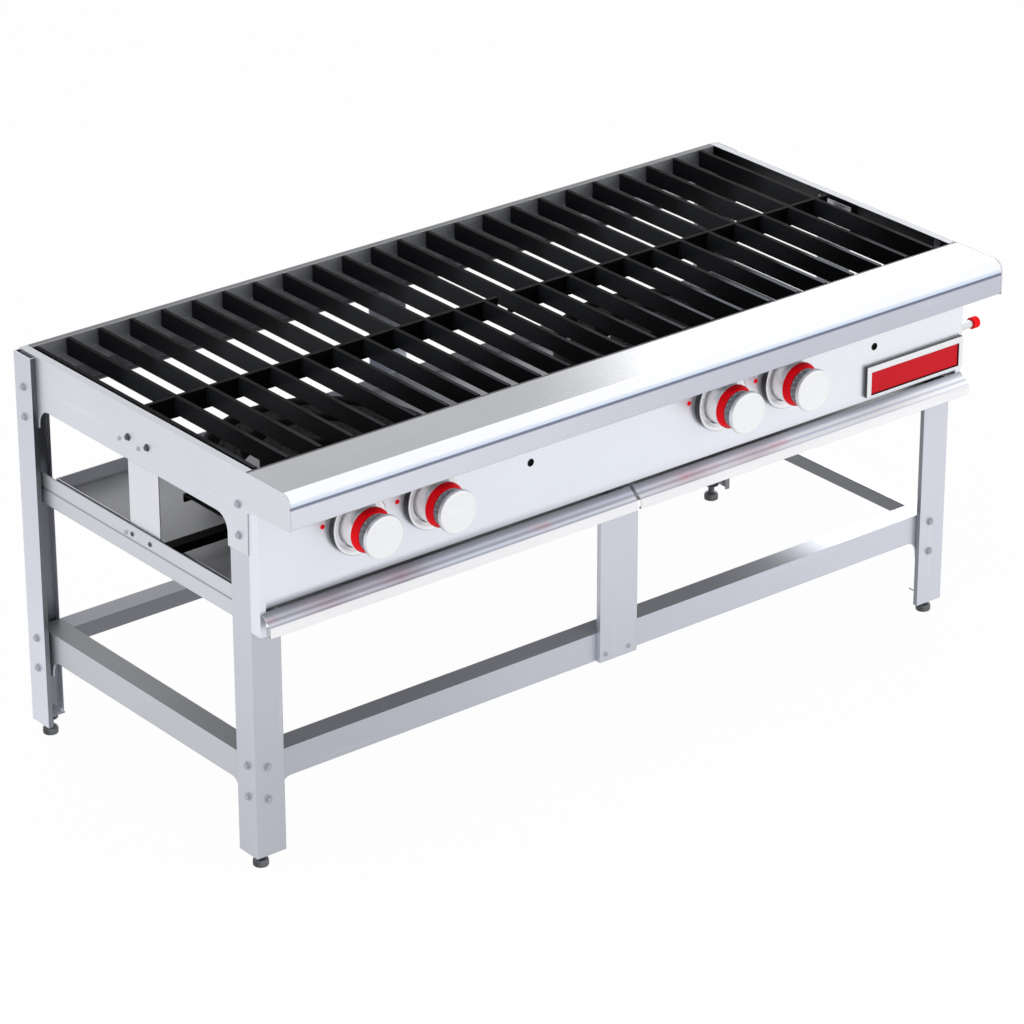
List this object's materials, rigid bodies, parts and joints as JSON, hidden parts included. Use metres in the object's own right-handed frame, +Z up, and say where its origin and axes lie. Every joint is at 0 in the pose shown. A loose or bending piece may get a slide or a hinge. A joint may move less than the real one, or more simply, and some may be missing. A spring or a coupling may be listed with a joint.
{
  "type": "stock pot range",
  "caption": "Low gas stock pot range: folded steel stand, side by side grates over ring burners, front ledge, knobs on a panel and pull-out drip trays.",
  "frame": {"origin": "on the floor, under the middle of the whole outline, with the gas inlet's cap on", "axes": "+X to the right along the front, +Y to the back, +Z up"},
  "size_m": [1.3704, 0.644, 0.61],
  "materials": {
    "stainless_leg": "satin",
    "stainless_frame": "satin",
    "stainless_panel": "satin",
    "control_panel_steel": "polished",
    "tray_steel": "satin",
    "grate_black": "gloss black",
    "support_black": "black",
    "burner_iron": "cast",
    "manifold_iron": "black pipe",
    "valve_brass": "machined",
    "pilot_brass": "drawn tube",
    "bezel_silver": "satin chrome",
    "knob_silver": "satin chrome",
    "knob_red": "gloss red",
    "badge_silver": "satin chrome",
    "badge_red": "gloss red, left bare",
    "cap_red": "soft plastic",
    "foot_zinc": "dark zinc"
  },
  "bodies": {
    "frame": {"badge_frame": "badge_silver", "badge_plate": "badge_red", "bezel_left_inner": "bezel_silver", "bezel_left_outer": "bezel_silver", "bezel_right_inner": "bezel_silver", "bezel_right_outer": "bezel_silver", "burner_inner_left": "burner_iron", "burner_inner_right": "burner_iron", "burner_outer_left": "burner_iron", "burner_outer_right": "burner_iron", "burner_support_front": "support_black", "centre_post_front": "stainless_frame", "centre_post_rear": "stainless_frame", "control_panel": "control_panel_steel", "cross_brace": "support_black", "front_ledge": "stainless_panel", "gas_manifold": "manifold_iron", "leg_front_left": "stainless_leg", "leg_front_right": "stainless_leg", "leg_rear_left": "stainless_leg", "leg_rear_right": "stainless_leg", "lower_rail_front": "stainless_frame", "lower_rail_left": "stainless_frame", "lower_rail_rear": "stainless_frame", "lower_rail_right": "stainless_frame", "pilot_line_left": "pilot_brass", "pilot_line_right": "pilot_brass", "rear_apron": "stainless_panel", "side_panel_left": "stainless_panel", "side_panel_right": "stainless_panel", "strap_left": "stainless_frame", "strap_right": "stainless_frame", "tray_rail_centre": "stainless_frame", "tray_rail_left": "stainless_frame", "tray_rail_right": "stainless_frame", "valve_left_inner": "valve_brass", "valve_left_outer": "valve_brass", "valve_right_inner": "valve_brass", "valve_right_outer": "valve_brass"},
    "levelling_foot_front_left": {"foot_front_left": "foot_zinc"},
    "levelling_foot_front_right": {"foot_front_right": "foot_zinc"},
    "levelling_foot_rear_left": {"foot_rear_left": "foot_zinc"},
    "levelling_foot_rear_right": {"foot_rear_right": "foot_zinc"},
    "knob_body_left_outer": {"knob_left_outer": "knob_silver", "knob_ring_left_outer": "knob_red"},
    "knob_body_left_inner": {"knob_left_inner": "knob_silver", "knob_ring_left_inner": "knob_red"},
    "knob_body_right_outer": {"knob_right_outer": "knob_silver", "knob_ring_right_outer": "knob_red"},
    "knob_body_right_inner": {"knob_right_inner": "knob_silver", "knob_ring_right_inner": "knob_red"},
    "grate_body_left": {"grate_left": "grate_black"},
    "tray_body_left": {"drip_tray_left": "tray_steel"},
    "grate_body_right": {"grate_right": "grate_black"},
    "tray_body_right": {"drip_tray_right": "tray_steel"},
    "inlet_cap_body": {"inlet_cap": "cap_red"}
  },
  "joints": [
    {"name": "front_left_foot_turn", "type": "hinge", "parent": "frame", "child": "levelling_foot_front_left", "pos_m": [-0.65655, -0.205, 0.02], "axis": [0, 0, 1], "continuous": true},
    {"name": "front_right_foot_turn", "type": "hinge", "parent": "frame", "child": "levelling_foot_front_right", "pos_m": [0.60285, -0.205, 0.02], "axis": [0, 0, 1], "continuous": true},
    {"name": "rear_left_foot_turn", "type": "hinge", "parent": "frame", "child": "levelling_foot_rear_left", "pos_m": [-0.66715, 0.304, 0.02], "axis": [0, 0, 1], "continuous": true},
    {"name": "rear_right_foot_turn", "type": "hinge", "parent": "frame", "child": "levelling_foot_rear_right", "pos_m": [0.61345, 0.304, 0.02], "axis": [0, 0, 1], "continuous": true},
    {"name": "left_outer_knob_turn", "type": "hinge", "parent": "frame", "child": "knob_body_left_outer", "pos_m": [-0.51185, -0.263, 0.497], "axis": [0, -1, 0], "range_deg": [0, 90]},
    {"name": "left_inner_knob_turn", "type": "hinge", "parent": "frame", "child": "knob_body_left_inner", "pos_m": [-0.38535, -0.263, 0.497], "axis": [0, -1, 0], "range_deg": [0, 90]},
    {"name": "right_outer_knob_turn", "type": "hinge", "parent": "frame", "child": "knob_body_right_outer", "pos_m": [0.13815, -0.263, 0.497], "axis": [0, -1, 0], "range_deg": [0, 90]},
    {"name": "right_inner_knob_turn", "type": "hinge", "parent": "frame", "child": "knob_body_right_inner", "pos_m": [0.26465, -0.263, 0.497], "axis": [0, -1, 0], "range_deg": [0, 90]},
    {"name": "left_grate_lift", "type": "slide", "parent": "frame", "child": "grate_body_left", "axis": [0, 0, 1], "range_m": [0, 0.15]},
    {"name": "right_grate_lift", "type": "slide", "parent": "frame", "child": "grate_body_right", "axis": [0, 0, 1], "range_m": [0, 0.15]},
    {"name": "left_tray_slide", "type": "slide", "parent": "frame", "child": "tray_body_left", "axis": [0, -1, 0], "range_m": [0, 0.4]},
    {"name": "right_tray_slide", "type": "slide", "parent": "frame", "child": "tray_body_right", "axis": [0, -1, 0], "range_m": [0, 0.4]},
    {"name": "inlet_cap_pull", "type": "slide", "parent": "frame", "child": "inlet_cap_body", "axis": [1, 0, 0], "range_m": [0, 0.05]}
  ]
}
